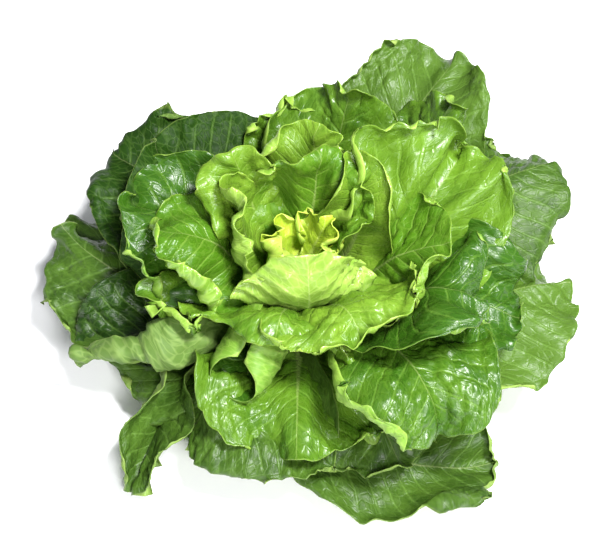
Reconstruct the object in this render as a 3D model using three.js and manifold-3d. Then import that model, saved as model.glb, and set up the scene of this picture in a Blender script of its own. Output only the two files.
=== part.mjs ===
// A romaine lettuce head, cut at the stem and standing on its cut face.
// Millimetres, +Z up. The origin is the centre of the cut face; -Y is the front of the head and +X its right.
// Each large leaf is one closed blade: a thick rib that clasps the stem, then a broad, waved blade that opens outward.
// The small pale leaves in the middle have grown together at the growing tip, and are one piece, the heart.
import * as THREE from "three";
import { mergeVertices } from "three/addons/utils/BufferGeometryUtils.js";
import Module from "manifold-3d";

const wasm = await Module();
wasm.setup();

// Driving dimensions
const STEM_RADIUS = 17; // the cut face
const STEM_HEIGHT = 50; // to the growing tip
const STEM_SIDES = 20;
const STEM_PROFILE = [[STEM_RADIUS - 1, 0], [STEM_RADIUS, 1], [STEM_RADIUS, 7], [15.5, 18], [12, 32],
  [8, STEM_HEIGHT - 6], [4, STEM_HEIGHT]]; // radius and height
const STEM_FINISH = { color: 0xd9dcae, roughness: 0.6 };
const HEART_TIP = { radius: 6, height: 26, rise: 4 };
const BLADE_THICKNESS = 0.8;
const RIB_THICKNESS = 3; // what a full-size rib adds to the blade at its root
const RIB_HALF_WIDTH = 8;
const CLEARANCE = 0.65; // between a leaf and what it lies against
const LOWEST = 1.3; // a blade's upper face lies at least this high, so that the stem's cut face carries the head

// Shape of a blade in its own plane
const WIDEST_AT = 0.6; // share of the length at which a leaf is widest
const STATIONS = [0, 0.15, 0.31, 0.47, 0.62, 0.76, 0.88, 1];
const STRIPS = [-1, -0.74, -0.46, -0.18, 0, 0.18, 0.46, 0.74, 1];
const NARROW_STATIONS = [0, 0.18, 0.38, 0.57, 0.74, 0.88, 1];
const NARROW_STRIPS = [-1, -0.7, -0.3, 0, 0.3, 0.7, 1];
const HEART_STATIONS = [0, 0.4, 0.75, 1];
const HEART_STRIPS = [-1, -0.5, 0, 0.5, 1];
const SPINE_STEPS = 60;
const ARC_STEPS = 12;
const PHASE_STEP = 2.4; // from one leaf's waves to the next one's, in radians

// What the leaves of a ring have in common. Angles are in degrees, and left is left as seen from outside the head.
// pitch: the midrib's angle above the horizontal at the root and at the tip.
// reach: how far the midrib keeps to each of those angles, as a share of the distance from root to tip.
// cup: how far each side has turned up at its margin, at the root and near the tip.
// wave: height of the margin's waves and their number round the blade.
const RINGS = {
  outer: { rootZ: 8, rootR: 15, width: 120, rib: 1, pitch: [34, -20], reach: [0.5, 0.35], cup: [56, 22],
    wave: [8, 4], finish: { color: 0x3f7a22, roughness: 0.45 } },
  middle: { rootZ: 17, rootR: 13, width: 104, rib: 0.85, pitch: [54, 0], reach: [0.55, 0.35], cup: [64, 34],
    wave: [9, 4], finish: { color: 0x58962a, roughness: 0.35 } },
  inner: { rootZ: 28, rootR: 9, width: 76, rib: 0.6, pitch: [72, 30], reach: [0.5, 0.35], cup: [70, 42],
    wave: [6, 3], finish: { color: 0x86b840, roughness: 0.35 } },
  heart: { rootZ: 50, rootR: 2, width: 34, rib: 0.4, pitch: [70, 85], reach: [0.4, 0.3], cup: [80, 40],
    wave: [4, 5], finish: { color: 0xc9d45c, roughness: 0.4 } },
};
// sweep: how far the midrib goes round the head, to the left, between root and tip.
// turn: the further turn of its heading at the tip. twist: the blade's turn about its midrib by its tip.
// fold: how far the left and the right side turn up at the rib. roll: the further turn of their margins, which
// starts at rollFrom, as a share of the way out, and opens again past rollEnd, as a share of the length.
// rootWidth: width at the root as a share of the full width.
const PLAIN = { sweep: 0, turn: 0, twist: 0, fold: [0, 0], roll: [0, 0], rollFrom: 0.5, rollEnd: 1, rootWidth: 0.16,
  lobe: 0.03 };

// The leaves, from the middle of the head outward. Azimuth is counted from the right side, through the back,
// and tip is the tip's distance from the axis and its height.
const LEAVES = {
  inner: [
    { name: "back", azimuth: 72, tip: [34, 130], rootZ: 34, rootR: 6, width: 74, pitch: [72, 80],
      cup: [80, 34] },
    { name: "front", azimuth: 278, tip: [24, 118], rootZ: 32, rootR: 7, width: 86, pitch: [46, 128],
      reach: [0.5, 0.4], cup: [50, 30], wave: [2, 4], rootWidth: 0.6 },
    { name: "right", azimuth: 44, sweep: 30, turn: 60, tip: [45, 130], rootZ: 31, rootR: 8, width: 52,
      pitch: [55, 60], cup: [70, 40] },
    { name: "left", azimuth: 172, tip: [38, 126], rootZ: 30, width: 56, pitch: [66, 80] },
    { name: "back_left", azimuth: 138, tip: [50, 130], rootZ: 28, width: 60, pitch: [64, 70],
      fold: [-25, 0] },
    { name: "front_right", azimuth: 298, tip: [76, 92], rootZ: 27, width: 96, pitch: [62, -40],
      reach: [0.9, 0.3], cup: [66, -6] },
    { name: "front_left", azimuth: 258, tip: [66, 87], rootZ: 26, width: 120, pitch: [60, -40],
      reach: [0.9, 0.3], cup: [66, 0], fold: [-20, -6] },
    { name: "far_back", azimuth: 80, tip: [54, 127], rootZ: 26, width: 78, pitch: [62, 60],
      fold: [-20, -10] },
    { name: "far_left", azimuth: 184, tip: [84, 110], rootZ: 25, width: 70, pitch: [60, 0],
      fold: [-20, -20], cup: [64, 30] },
    { name: "far_right", azimuth: 350, tip: [84, 114], rootZ: 27, width: 78, pitch: [50, 30],
      cup: [66, 30], reach: [0.6, 0.35], fold: [0, -25] },
  ],
  middle: [
    { name: "right_back", azimuth: 30, sweep: 18, turn: 36, tip: [108, 113], rootZ: 22, width: 108,
      pitch: [50, 6], cup: [54, 0], fold: [40, -4], roll: [40, 0], wave: [9, 6] },
    { name: "front_left", azimuth: 206, tip: [97, 86], rootZ: 21, width: 56, pitch: [40, 60],
      fold: [40, 40] },
    { name: "right", azimuth: 338, tip: [112, 92], rootZ: 21, width: 100, pitch: [44, -40],
      reach: [0.8, 0.3], sweep: 4, fold: [-25, 8], cup: [60, 22] },
    { name: "left", azimuth: 168, tip: [102, 102], rootZ: 20, width: 90, pitch: [52, 10], fold: [-15, 0],
      cup: [60, 28] },
    { name: "back", azimuth: 71, tip: [92, 119], rootZ: 19, width: 90, pitch: [54, 40], cup: [60, 4] },
    { name: "front_right", azimuth: 305, sweep: -12, turn: -20, tip: [136, 58], rootZ: 17, width: 104,
      pitch: [46, -55], reach: [0.75, 0.35], roll: [20, 30], fold: [-20, 0], cup: [60, 16] },
    { name: "front", azimuth: 269, tip: [114, 46], rootZ: 16, width: 124, pitch: [30, -28],
      reach: [0.62, 0.35], fold: [-20, 0], cup: [60, 20] },
    { name: "far_right", azimuth: 343, tip: [130, 67], rootZ: 15, width: 96, pitch: [36, -30],
      reach: [0.7, 0.35], fold: [8, -22], cup: [62, 14] },
    { name: "back_left", azimuth: 95, tip: [92, 100], rootZ: 14, width: 62, pitch: [38, 35], fold: [0, 0],
      cup: [60, 10], wave: [5, 3] },
    { name: "far_back", azimuth: 41, tip: [122, 110], rootZ: 15, width: 84, pitch: [44, 15],
      fold: [-15, -15], cup: [60, 12] },
    { name: "front_rolled", azimuth: 245, tip: [92, 57], rootZ: 20, width: 104, pitch: [58, 24],
      reach: [0.5, 0.35], cup: [110, 172], wave: [1.5, 3], phase: 1 },
  ],
  outer: [
    { name: "back", azimuth: 54, tip: [162, 94], rootZ: 13, width: 98, pitch: [34, 5], cup: [52, 4] },
    { name: "back_left", azimuth: 146, tip: [105, 101], rootZ: 12, width: 122, pitch: [42, 30],
      cup: [52, 0], fold: [0, 10] },
    { name: "right_back", azimuth: 22, tip: [164, 78], rootZ: 12, pitch: [30, -20], fold: [-30, -15],
      width: 128, cup: [52, 0] },
    { name: "left_front", azimuth: 197, tip: [138, 38], rootZ: 11, width: 84, pitch: [44, -20],
      roll: [175, 0], sweep: -20, turn: -10, rollFrom: 0.25 },
    { name: "left", azimuth: 168, tip: [142, 45], rootZ: 9, width: 98, pitch: [32, -25], fold: [-20, 0],
      sweep: -30, turn: -40, cup: [50, 6] },
    { name: "right", azimuth: 358, sweep: 20, turn: 14, tip: [158, 54], rootZ: 10, width: 130,
      fold: [-30, -10], pitch: [26, -20], cup: [52, 4] },
    { name: "front", azimuth: 236, tip: [122, 30], rootZ: 10, width: 156, pitch: [30, -40],
      reach: [0.6, 0.35], fold: [0, -20], cup: [50, 2] },
    { name: "front_far_right", azimuth: 297, tip: [124, 25], rootZ: 9, width: 104, pitch: [24, -40],
      reach: [0.6, 0.35], fold: [-15, -15], cup: [52, 4] },
    { name: "far_back_left", azimuth: 147, tip: [136, 75], rootZ: 8.5, width: 108, pitch: [28, 0],
      fold: [-15, -10] },
    { name: "front_left", azimuth: 233, sweep: 22, turn: 36, tip: [147, 4], rootZ: 6, width: 66,
      pitch: [8, -30], reach: [0.5, 0.3], fold: [58, 58] },
    { name: "far_left", azimuth: 167, tip: [149, 38], rootZ: 7, width: 90, pitch: [16, -15],
      fold: [-20, -30] },
    { name: "front_right", azimuth: 321, tip: [151, 5], rootZ: 6, width: 78, pitch: [10, -8],
      reach: [0.62, 0.4], sweep: 56, turn: 56 },
  ],
};

// The small leaves that have grown together in the middle.
const HEART_LEAVES = [
  { azimuth: 40, tip: [19, 96], width: 34 },
  { azimuth: 150, tip: [17, 92], width: 34 },
  { azimuth: 262, tip: [14, 86], width: 30 },
  { azimuth: 335, tip: [22, 90], width: 28 },
];

const withRing = (leaf, ring, index) => ({ ...PLAIN, ...RINGS[ring], phase: index * PHASE_STEP, ...leaf });

const rad = THREE.MathUtils.degToRad;
const clamp01 = (x) => Math.min(1, Math.max(0, x));
const smooth = (x) => clamp01(x) ** 2 * (3 - 2 * clamp01(x));
const mix = (a, b, t) => a + (b - a) * t;

// The blade's end is half an ellipse, and the grid's two end corners lie at 45 degrees on it.
const TIP_LENGTH = 1 - WIDEST_AT;
const CORNER_SHARE = Math.SQRT1_2;
const CORNER_BACK = TIP_LENGTH * (1 - CORNER_SHARE);

// Half width at a share of the length, as a share of the greatest half width.
function outline(leaf, share) {
  if (share > WIDEST_AT) {
    const past = Math.min((share - WIDEST_AT) / TIP_LENGTH, CORNER_SHARE);
    return Math.sqrt(1 - past ** 2);
  }
  return mix(leaf.rootWidth, 1, Math.sin((Math.PI / 2) * clamp01(share / WIDEST_AT) ** 1.5));
}

// The midrib as points with their directions, evenly spaced from the root out.
function spineOf(leaf) {
  const toward = (azimuth, pitch) => new THREE.Vector3(
    Math.cos(rad(pitch)) * Math.cos(rad(azimuth)), Math.cos(rad(pitch)) * Math.sin(rad(azimuth)), Math.sin(rad(pitch)));
  const [start, end] = [leaf.azimuth - leaf.sweep, leaf.azimuth + leaf.turn];
  const root = toward(start, 0).multiplyScalar(leaf.rootR).setZ(leaf.rootZ);
  const tip = toward(leaf.azimuth, 0).multiplyScalar(leaf.tip[0]).setZ(leaf.tip[1]);
  const chord = root.distanceTo(tip);
  const curve = new THREE.CubicBezierCurve3(
    root, root.clone().addScaledVector(toward(start, leaf.pitch[0]), leaf.reach[0] * chord),
    tip.clone().addScaledVector(toward(end, leaf.pitch[1]), -leaf.reach[1] * chord), tip);
  const points = [];
  for (let i = 0; i <= SPINE_STEPS; i++) {
    const u = i / SPINE_STEPS;
    const along = curve.getTangentAt(u);
    const across = toward(mix(start, end, u) + 90, 0).projectOnPlane(along).normalize();
    across.applyAxisAngle(along, rad(leaf.twist * u));
    points.push({ at: curve.getPointAt(u), along, across, up: new THREE.Vector3().crossVectors(along, across) });
  }
  return points;
}

function frameAt(spine, share) {
  const x = clamp01(share) * SPINE_STEPS;
  const i = Math.min(Math.floor(x), SPINE_STEPS - 1);
  const [a, b] = [spine[i], spine[i + 1]];
  const between = (key) => a[key].clone().lerp(b[key], x - i);
  return { at: between("at"), along: between("along"), across: between("across"), up: between("up") };
}

// The margin's waves: how far the blade stands off its plain form, u along the leaf and v across it.
function waveAt(leaf, u, v) {
  const along = u > WIDEST_AT ? (u - WIDEST_AT) / TIP_LENGTH : (u - WIDEST_AT) / WIDEST_AT;
  const out = Math.min(1, (along ** 4 + v ** 4) ** 0.25);
  const angle = Math.atan2(v, along);
  const [height, count] = leaf.wave;
  const swing = Math.sin(count * angle + leaf.phase) + 0.45 * Math.sin(2.3 * count * angle + 2 * leaf.phase);
  return height * smooth((u - 0.12) / 0.3) * out ** 2.2 * swing;
}

// A point of the blade's upper face, with u from root to tip and v from the right margin, -1, to the left, 1.
function bladePoint(leaf, spine, u, v) {
  const side = Math.sign(v);
  const q = Math.abs(v);
  const back = (CORNER_BACK * u * (1 - Math.sqrt(1 - q ** 2 / 2))) / (1 - CORNER_SHARE);
  const frame = frameAt(spine, u - back);
  const halfWidth = (leaf.width / 2) * outline(leaf, u * (1 - CORNER_BACK));
  const turn = mix(leaf.cup[0], leaf.cup[1], smooth((u - 0.1) / 0.6));
  const fold = leaf.fold[v > 0 ? 0 : 1] * smooth(u / 0.35);
  const roll = leaf.roll[v > 0 ? 0 : 1] * smooth((u - 0.15) / 0.35) * (1 - smooth((u - leaf.rollEnd) / 0.12));
  let [sideways, upward, angle] = [0, 0, 0];
  for (let i = 0; i < ARC_STEPS; i++) {
    const s = ((i + 0.5) / ARC_STEPS) * q;
    angle = rad(fold + turn * s + roll * smooth((s - leaf.rollFrom) / (1 - leaf.rollFrom)));
    sideways += (Math.cos(angle) * q) / ARC_STEPS;
    upward += (Math.sin(angle) * q) / ARC_STEPS;
  }
  const lobe = 1 + leaf.lobe * q ** 2 * smooth((u - 0.2) / 0.3) * Math.sin(11 * u + 3 * leaf.phase + side);
  const wave = waveAt(leaf, u, v);
  const point = frame.at
    .addScaledVector(frame.across, side * (sideways * halfWidth * lobe - Math.sin(angle) * wave))
    .addScaledVector(frame.up, upward * halfWidth * lobe + Math.cos(angle) * wave);
  return point.setZ(Math.max(point.z, LOWEST));
}

function thicknessAt(leaf, u, v) {
  const width = (leaf.width / 2) * outline(leaf, u * (1 - CORNER_BACK));
  const ribHalf = RIB_HALF_WIDTH * leaf.rib * mix(1, 0.15, u);
  const rib = RIB_THICKNESS * leaf.rib * (1 - u) ** 1.4 * Math.exp(-(((v * width) / ribHalf) ** 2));
  return BLADE_THICKNESS + rib;
}

// Where a blade's rows and columns lie: fewer for a smaller leaf.
function gridOf({ width }) {
  if (width < 50) return [HEART_STATIONS, HEART_STRIPS];
  return width < 100 ? [NARROW_STATIONS, NARROW_STRIPS] : [STATIONS, STRIPS];
}

// A closed blade. grow widens it on every side, to cut room for it in a leaf behind.
function bladeSolid(leaf, grow = 0) {
  const spine = spineOf(leaf);
  const [stations, strips] = gridOf(leaf);
  const [rows, columns] = [stations.length, strips.length];
  const upper = [];
  const lower = [];
  for (const u of stations) {
    for (const v of strips) {
      const step = 0.01;
      const [a, b] = [Math.max(0, u - step), Math.min(1, u + step)];
      const du = bladePoint(leaf, spine, b, v).sub(bladePoint(leaf, spine, a, v));
      const [c, d] = [Math.max(-1, v - step), Math.min(1, v + step)];
      const dv = bladePoint(leaf, spine, u, d).sub(bladePoint(leaf, spine, u, c));
      const normal = new THREE.Vector3().crossVectors(du, dv).normalize();
      const at = bladePoint(leaf, spine, u, v);
      if (Math.abs(v) === 1) at.addScaledVector(dv.normalize(), Math.sign(v) * grow);
      if (u === 1) at.addScaledVector(du.normalize(), grow);
      upper.push(at.clone().addScaledVector(normal, grow));
      lower.push(at.clone().addScaledVector(normal, -thicknessAt(leaf, u, v) - grow));
    }
  }
  const vertices = [...upper, ...lower].flatMap((p) => p.toArray());
  const below = upper.length;
  const at = (i, j) => i * columns + j;
  const faces = [];
  const quad = (a, b, c, d) => faces.push(a, b, c, a, c, d);
  for (let i = 0; i < rows - 1; i++) {
    for (let j = 0; j < columns - 1; j++) {
      const [a, b, c, d] = [at(i, j), at(i + 1, j), at(i + 1, j + 1), at(i, j + 1)];
      quad(a, b, c, d);
      faces.push(below + a, below + c, below + b, below + a, below + d, below + c);
    }
  }
  for (let j = 0; j < columns - 1; j++) {
    quad(at(0, j), at(0, j + 1), below + at(0, j + 1), below + at(0, j));
    quad(at(rows - 1, j + 1), at(rows - 1, j), below + at(rows - 1, j), below + at(rows - 1, j + 1));
  }
  for (let i = 0; i < rows - 1; i++) {
    quad(at(i + 1, 0), at(i, 0), below + at(i, 0), below + at(i + 1, 0));
    quad(at(i, columns - 1), at(i + 1, columns - 1), below + at(i + 1, columns - 1), below + at(i, columns - 1));
  }
  return new wasm.Manifold(new wasm.Mesh({
    numProp: 3, vertProperties: new Float32Array(vertices), triVerts: new Uint32Array(faces) }));
}

// A solid's largest body, without the scraps that a cut leaves. Rounding its points can part it once more.
function largest(solid) {
  const biggest = (whole) => whole.decompose().sort((a, b) => b.volume() - a.volume())[0];
  const { vertProperties, triVerts } = biggest(solid).getMesh();
  return biggest(new wasm.Manifold(new wasm.Mesh({ numProp: 3, vertProperties, triVerts })));
}

// A closed three.js geometry as a solid.
function solidFromGeometry(geometry) {
  geometry.deleteAttribute("normal");
  geometry.deleteAttribute("uv");
  const merged = mergeVertices(geometry, 1e-4);
  return new wasm.Manifold(new wasm.Mesh({
    numProp: 3, vertProperties: new Float32Array(merged.getAttribute("position").array),
    triVerts: new Uint32Array(merged.index.array) }));
}

function geometryFromSolid(solid) {
  const { vertProperties, triVerts } = solid.getMesh();
  const geometry = new THREE.BufferGeometry();
  geometry.setAttribute("position", new THREE.BufferAttribute(vertProperties, 3));
  geometry.setIndex(new THREE.BufferAttribute(triVerts, 1));
  geometry.computeVertexNormals();
  return geometry;
}

// The stem stands on its cut face and tapers to the growing tip.
function stemSolid(grow = 0) {
  const sides = STEM_PROFILE.map(([radius, z]) => new THREE.Vector2(radius + grow, z));
  const points = [new THREE.Vector2(0, 0), ...sides, new THREE.Vector2(0, STEM_HEIGHT + grow)];
  return solidFromGeometry(new THREE.LatheGeometry(points, STEM_SIDES).rotateX(Math.PI / 2));
}

// The heart's leaves, joined at the growing tip.
function heartSolid(grow = 0) {
  const tip = new THREE.SphereGeometry(1, 12, 6);
  tip.scale(HEART_TIP.radius + grow, HEART_TIP.height / 2 + grow, HEART_TIP.radius + grow);
  tip.rotateX(Math.PI / 2).translate(0, 0, STEM_HEIGHT + HEART_TIP.rise);
  const leaves = HEART_LEAVES.map((leaf, i) => bladeSolid(withRing(leaf, "heart", i), grow));
  return leaves.reduce((whole, leaf) => whole.add(leaf), solidFromGeometry(tip));
}

const head = new THREE.Group();

function addPiece(name, solid, finish) {
  const mesh = new THREE.Mesh(geometryFromSolid(solid), new THREE.MeshStandardMaterial(finish));
  mesh.name = name;
  head.add(mesh);
}

addPiece("stem", stemSolid(), STEM_FINISH);
// What the pieces placed so far take up. Each further piece is cut clear of it.
let taken = stemSolid(CLEARANCE);
addPiece("heart", largest(heartSolid().subtract(taken)), RINGS.heart.finish);
taken = taken.add(heartSolid(CLEARANCE));

let count = 0;
for (const [ring, rows] of Object.entries(LEAVES)) {
  for (const row of rows) {
    const leaf = withRing(row, ring, count);
    addPiece(`${ring}_leaf_${row.name}`, largest(bladeSolid(leaf).subtract(taken)), leaf.finish);
    taken = taken.add(bladeSolid(leaf, CLEARANCE));
    if (!("phase" in row)) count += 1;
  }
}

export default head;
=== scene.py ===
"""A romaine lettuce head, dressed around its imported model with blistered, veined and ruffled leaves."""

import math

import bpy
import numpy as np
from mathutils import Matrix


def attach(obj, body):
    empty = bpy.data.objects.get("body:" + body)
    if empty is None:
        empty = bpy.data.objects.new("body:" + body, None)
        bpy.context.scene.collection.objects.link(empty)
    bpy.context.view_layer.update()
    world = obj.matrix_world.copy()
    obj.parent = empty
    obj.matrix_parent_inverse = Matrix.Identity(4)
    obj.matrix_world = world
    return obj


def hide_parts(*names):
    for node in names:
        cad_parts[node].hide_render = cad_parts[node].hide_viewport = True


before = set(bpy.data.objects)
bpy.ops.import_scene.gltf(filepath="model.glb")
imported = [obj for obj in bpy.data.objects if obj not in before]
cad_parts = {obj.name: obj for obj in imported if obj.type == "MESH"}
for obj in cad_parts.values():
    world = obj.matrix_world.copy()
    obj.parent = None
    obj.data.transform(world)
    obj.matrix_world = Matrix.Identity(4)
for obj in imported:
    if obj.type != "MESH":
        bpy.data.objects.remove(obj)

bl_info = {
    "name": "Romaine lettuce head",
    "version": (1, 0, 0),
    "blender": (4, 5, 0),
    "location": "3D view > Sidebar > Lettuce",
    "description": "Makes the leaves, heart and stem of a romaine lettuce head, and a plain stage for it",
    "category": "Add Mesh",
}

MM = 0.001

# The leaves' lengths are in millimetres, and their angles in degrees. The plain form of each blade is worked
# out as in the solids, so that the dressed leaf lies on its solid.
WIDEST_AT = 0.6
TIP_LENGTH = 1 - WIDEST_AT
CORNER_SHARE = math.sqrt(0.5)
CORNER_BACK = TIP_LENGTH * (1 - CORNER_SHARE)
SPINE_STEPS = 60
CURVE_STEPS = 400
ARC_STEPS = 12
PHASE_STEP = 2.4
FIRST_SEED = 101
HEART_SEED = 1501
SEED_STEP = 37
# The lowest that a blade's upper face and underside may lie above the table.
LOWEST = 1.3
LOWEST_UNDER = 0.3
RIB_THICKNESS = 3
RIB_HALF_WIDTH = 8
BLADE_THICKNESS = 0.45
BLADE_THICKENING = 0.25
FEWEST_ROWS = 14
FEWEST_COLUMNS = 6

RINGS = {
    "outer": dict(root_z=8, root_r=15, width=120, rib=1, pitch=(34, -20), reach=(0.5, 0.35), cup=(56, 22),
                  wave=(8, 4), dull=0.4),
    "middle": dict(root_z=17, root_r=13, width=104, rib=0.85, pitch=(54, 0), reach=(0.55, 0.35),
                   cup=(64, 34), wave=(9, 4)),
    "inner": dict(root_z=28, root_r=9, width=76, rib=0.6, pitch=(72, 30), reach=(0.5, 0.35), cup=(70, 42),
                  wave=(6, 3)),
    "heart": dict(root_z=50, root_r=2, width=34, rib=0.4, pitch=(70, 85), reach=(0.4, 0.3), cup=(80, 40),
                  wave=(4, 5)),
}
# What a leaf has where its row says nothing else. Sweep and turn bend the midrib sideways at root and tip.
# Fold and roll lift the right and left halves. Tone runs from the dark colour, 0, to the light one, 1; it is
# partly the leaf's own colour and partly painted shade. Pleat is the height of the fan of folds. Curls are
# stretches of margin, in millimetres from the tip, and the angles that they roll to.
PLAIN = dict(sweep=0, turn=0, fold=(0, 0), roll=(0, 0), roll_from=0.5, roll_end=1, root_width=0.16,
             tone=0.5, dull=0.0, pleat=0.9, blister=1.0, ruffle=1.0, curl=1.0, curl_depth=7, curls=())
# How far the margin's sides and its end blend into one another at the corners.
MARGIN_ROUNDING = 2.5
# Angles to which the margin rolls up or down where nothing else is said, and over what length that changes.
CURL_UP = 130
CURL_DOWN = 80
CURL_LENGTH = 34
CURL_EASE = 9
# Leaves narrower than this have closer side veins. The veins leave the rib slanting to the tip, and bend on.
FULL_SPACING_WIDTH = 90
VEIN_SLANT = 0.8
VEIN_BEND = 0.003
VEIN_WANDER = 0.35
# Heights of the blade's broad and middling lumps, of the groove over the rib and of the margin's teeth.
SWELL_HEIGHT = 4.5
LUMP_HEIGHT = 1.7
GROOVE_DEPTH = 1.2
GROOVE_HALF_WIDTH = 3.2
BIG_TOOTH = 0.9
SMALL_TOOTH = 0.3
# Phase of the fan of pleats for each radian from the rib, and how far in from the margin its ruffles fade.
PLEAT_PHASE = 22
RUFFLE_REACH = 9

# Root is the height and the distance from the stem's axis at which a leaf starts, and tip is the distance and
# the height at which it ends. Pitch is the midrib's slope at both, and reach how far each slope carries on.
# Cup is how far a half turns up at its margin, near the root and farther out. Wave is height and count.
LEAVES = {
    "inner": [
        dict(name="back", azimuth=72, tip=(34, 130), root_z=34, root_r=6, width=74, pitch=(72, 80),
             cup=(80, 34)),
        dict(name="front", azimuth=278, tip=(24, 118), root_z=32, root_r=7, width=86, pitch=(46, 128),
             reach=(0.5, 0.4), cup=(50, 30), wave=(2, 4), root_width=0.6),
        dict(name="right", azimuth=44, sweep=30, turn=60, tip=(45, 130), root_z=31, root_r=8, width=52,
             pitch=(55, 60), cup=(70, 40)),
        dict(name="left", azimuth=172, tip=(38, 126), root_z=30, width=56, pitch=(66, 80)),
        dict(name="back_left", azimuth=138, tip=(50, 130), root_z=28, width=60, pitch=(64, 70),
             fold=(-25, 0)),
        dict(name="front_right", azimuth=298, tip=(76, 92), root_z=27, width=96, pitch=(62, -40),
             reach=(0.9, 0.3), cup=(66, -6)),
        dict(name="front_left", azimuth=258, tip=(66, 87), root_z=26, width=120, pitch=(60, -40),
             reach=(0.9, 0.3), cup=(66, 0), fold=(-20, -6)),
        dict(name="far_back", azimuth=80, tip=(54, 127), root_z=26, width=78, pitch=(62, 60),
             fold=(-20, -10)),
        dict(name="far_left", azimuth=184, tip=(84, 110), root_z=25, width=70, pitch=(60, 0),
             fold=(-20, -20), cup=(64, 30)),
        dict(name="far_right", azimuth=350, tip=(84, 114), root_z=27, width=78, pitch=(50, 30),
             cup=(66, 30), reach=(0.6, 0.35), fold=(0, -25)),
    ],
    "middle": [
        dict(name="right_back", azimuth=30, sweep=18, turn=36, tip=(108, 113), root_z=22, width=108,
             pitch=(50, 6), cup=(54, 0), fold=(40, -4), roll=(40, 0), wave=(9, 6)),
        dict(name="front_left", azimuth=206, tip=(97, 86), root_z=21, width=56, pitch=(40, 60),
             fold=(40, 40)),
        dict(name="right", azimuth=338, tip=(112, 92), root_z=21, width=100, pitch=(44, -40),
             reach=(0.8, 0.3), sweep=4, fold=(-25, 8), cup=(60, 22)),
        dict(name="left", azimuth=168, tip=(102, 102), root_z=20, width=90, pitch=(52, 10), fold=(-15, 0),
             cup=(60, 28)),
        dict(name="back", azimuth=71, tip=(92, 119), root_z=19, width=90, pitch=(54, 40), cup=(60, 4)),
        dict(name="front_right", azimuth=305, sweep=-12, turn=-20, tip=(136, 58), root_z=17, width=104,
             pitch=(46, -55), reach=(0.75, 0.35), roll=(20, 30), fold=(-20, 0), cup=(60, 16)),
        dict(name="front", azimuth=269, tip=(114, 46), root_z=16, width=124, pitch=(30, -28),
             reach=(0.62, 0.35), fold=(-20, 0), cup=(60, 20)),
        dict(name="far_right", azimuth=343, tip=(130, 67), root_z=15, width=96, pitch=(36, -30),
             reach=(0.7, 0.35), fold=(8, -22), cup=(62, 14)),
        dict(name="back_left", azimuth=95, tip=(92, 100), root_z=14, width=62, pitch=(38, 35), fold=(0, 0),
             cup=(60, 10), wave=(5, 3)),
        dict(name="far_back", azimuth=41, tip=(122, 110), root_z=15, width=84, pitch=(44, 15),
             fold=(-15, -15), cup=(60, 12)),
        # This one gives its own phase and isn't counted, so that the leaves after it keep theirs.
        dict(name="front_rolled", azimuth=245, tip=(92, 57), root_z=20, width=104, pitch=(58, 24),
             reach=(0.5, 0.35), cup=(110, 172), wave=(1.5, 3), phase=1),
    ],
    "outer": [
        dict(name="back", azimuth=54, tip=(162, 94), root_z=13, width=98, pitch=(34, 5), cup=(52, 4)),
        dict(name="back_left", azimuth=146, tip=(105, 101), root_z=12, width=122, pitch=(42, 30),
             cup=(52, 0), fold=(0, 10)),
        dict(name="right_back", azimuth=22, tip=(164, 78), root_z=12, pitch=(30, -20), fold=(-30, -15),
             width=128, cup=(52, 0)),
        dict(name="left_front", azimuth=197, tip=(138, 38), root_z=11, width=84, pitch=(44, -20),
             roll=(175, 0), sweep=-20, turn=-10, roll_from=0.25),
        dict(name="left", azimuth=168, tip=(142, 45), root_z=9, width=98, pitch=(32, -25), fold=(-20, 0),
             sweep=-30, turn=-40, cup=(50, 6)),
        dict(name="right", azimuth=358, sweep=20, turn=14, tip=(158, 54), root_z=10, width=130,
             fold=(-30, -10), pitch=(26, -20), cup=(52, 4)),
        dict(name="front", azimuth=236, tip=(122, 30), root_z=10, width=156, pitch=(30, -40),
             reach=(0.6, 0.35), fold=(0, -20), cup=(50, 2)),
        dict(name="front_far_right", azimuth=297, tip=(124, 25), root_z=9, width=104, pitch=(24, -40),
             reach=(0.6, 0.35), fold=(-15, -15), cup=(52, 4)),
        dict(name="far_back_left", azimuth=147, tip=(136, 75), root_z=8.5, width=108, pitch=(28, 0),
             fold=(-15, -10)),
        dict(name="front_left", azimuth=233, sweep=22, turn=36, tip=(147, 4), root_z=6, width=66,
             pitch=(8, -30), reach=(0.5, 0.3), fold=(58, 58)),
        dict(name="far_left", azimuth=167, tip=(149, 38), root_z=7, width=90, pitch=(16, -15),
             fold=(-20, -30)),
        dict(name="front_right", azimuth=321, tip=(151, 5), root_z=6, width=78, pitch=(10, -8),
             reach=(0.62, 0.4), sweep=56, turn=56),
    ],
}

HEART_LEAVES = [
    dict(azimuth=40, tip=(19, 96), width=34),
    dict(azimuth=150, tip=(17, 92), width=34),
    dict(azimuth=262, tip=(14, 86), width=30),
    dict(azimuth=335, tip=(22, 90), width=28),
]
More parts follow.
